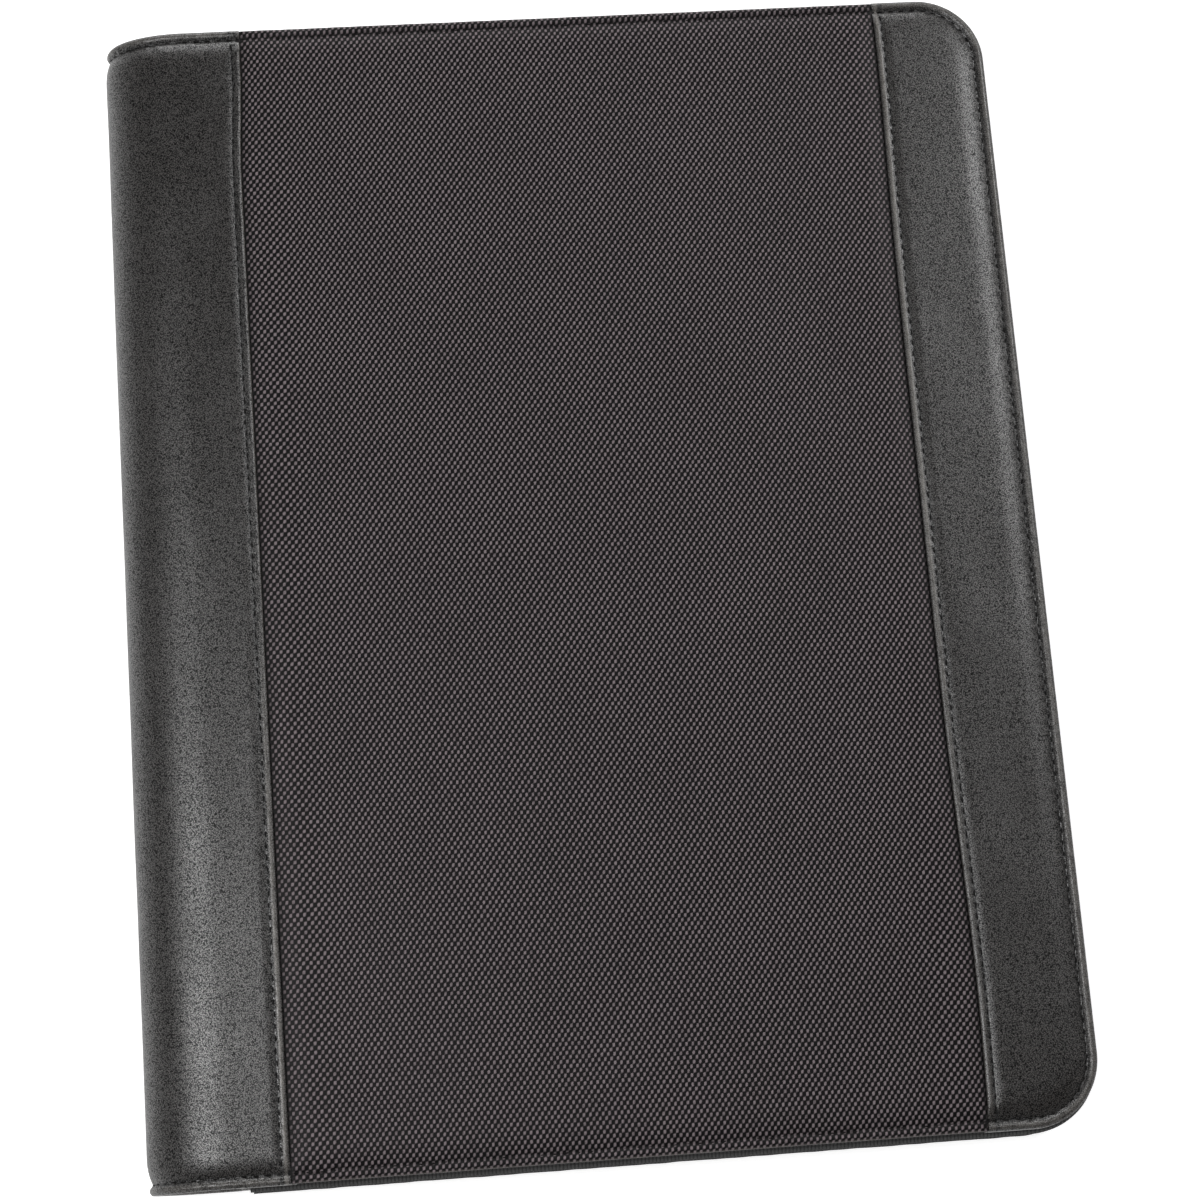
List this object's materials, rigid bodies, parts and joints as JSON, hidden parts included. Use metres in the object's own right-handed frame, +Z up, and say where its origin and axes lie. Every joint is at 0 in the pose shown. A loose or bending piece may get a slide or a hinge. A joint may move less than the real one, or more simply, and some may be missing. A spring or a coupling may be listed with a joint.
{
  "type": "conference folder",
  "caption": "Zip-round folder with padded nylon and leatherette covers on a rounded soft spine; inside are a writing pad, a document pocket, card pockets and a pen loop.",
  "frame": {"origin": "a point in the middle of the flat face that the closed folder lies on, under its back cover", "axes": "+Z up out of the back cover through the front cover, +X from the spine to the fore edge, +Y up the page from tail to head"},
  "size_m": [0.27, 0.3476, 0.03],
  "materials": {
    "nylon": "coarse plain-weave nylon, dark grey",
    "leatherette": "fine-grained leatherette, satin black",
    "foam": "soft foam sheet",
    "board": "grey board",
    "lining": "smooth black lining cloth",
    "zip_tape": "twill zip tape",
    "zip_teeth": "moulded teeth, satin",
    "zip_metal": "black lacquered die-cast metal",
    "elastic": "ribbed elastic band",
    "pad_card": "uncoated grey-brown card",
    "paper": "white writing paper",
    "pad_binding": "cloth binding tape"
  },
  "bodies": {
    "back_cover": {"back_nylon_panel": "nylon", "back_edge_strip": "leatherette", "back_spine_strip": "leatherette", "back_padding": "foam", "back_board": "board", "back_lining": "lining", "back_hinge_lining": "lining", "back_zip_tape": "zip_tape", "back_teeth_head": "zip_teeth", "back_teeth_fore_edge": "zip_teeth", "back_teeth_tail": "zip_teeth", "back_stop_head": "zip_metal", "back_stop_tail": "zip_metal", "pad_pocket": "lining", "pad_backing_board": "pad_card", "pad_sheets": "paper", "pad_binding": "pad_binding"},
    "front_cover": {"front_nylon_panel": "nylon", "front_edge_strip": "leatherette", "front_spine_strip": "leatherette", "front_padding": "foam", "front_board": "board", "front_lining": "lining", "front_hinge_lining": "lining", "front_zip_tape": "zip_tape", "front_teeth_head": "zip_teeth", "front_teeth_fore_edge": "zip_teeth", "front_teeth_tail": "zip_teeth", "front_stop_head": "zip_metal", "front_stop_tail": "zip_metal", "document_pocket": "lining", "card_pocket_1": "lining", "card_pocket_2": "lining", "card_pocket_3": "lining", "pen_loop": "elastic"},
    "spine_lower": {"spine_lower_leatherette": "leatherette", "spine_lower_padding": "foam", "spine_lower_lining": "lining"},
    "spine_middle": {"spine_middle_leatherette": "leatherette", "spine_middle_padding": "foam", "spine_middle_lining": "lining"},
    "spine_upper": {"spine_upper_leatherette": "leatherette", "spine_upper_padding": "foam", "spine_upper_lining": "lining"},
    "zip_slider": {"slider_body": "zip_metal", "slider_bridge": "zip_metal"},
    "zip_pull": {"pull_tab": "zip_metal"}
  },
  "joints": [
    {"name": "spine_fold_back", "type": "hinge", "parent": "back_cover", "child": "spine_lower", "pos_m": [-0.12426, 0, 0.0025], "axis": [0, -1, 0], "range_deg": [0, 45]},
    {"name": "spine_fold_lower", "type": "hinge", "parent": "spine_lower", "child": "spine_middle", "pos_m": [-0.13423, 0, 0.01124], "axis": [0, -1, 0], "range_deg": [0, 45]},
    {"name": "spine_fold_upper", "type": "hinge", "parent": "spine_middle", "child": "spine_upper", "pos_m": [-0.13423, 0, 0.01876], "axis": [0, -1, 0], "range_deg": [0, 45]},
    {"name": "spine_fold_front", "type": "hinge", "parent": "spine_upper", "child": "front_cover", "pos_m": [-0.12426, 0, 0.0275], "axis": [0, -1, 0], "range_deg": [0, 45]},
    {"name": "slider_run", "type": "slide", "parent": "back_cover", "child": "zip_slider", "axis": [1, 0, 0], "range_m": [0, 0.2], "deforming": ["front_teeth_head", "back_teeth_head"]},
    {"name": "pull_swing", "type": "hinge", "parent": "zip_slider", "child": "zip_pull", "pos_m": [-0.0951, 0.1731, 0.015], "axis": [0, 0, 1], "range_deg": [0, 175]}
  ]
}
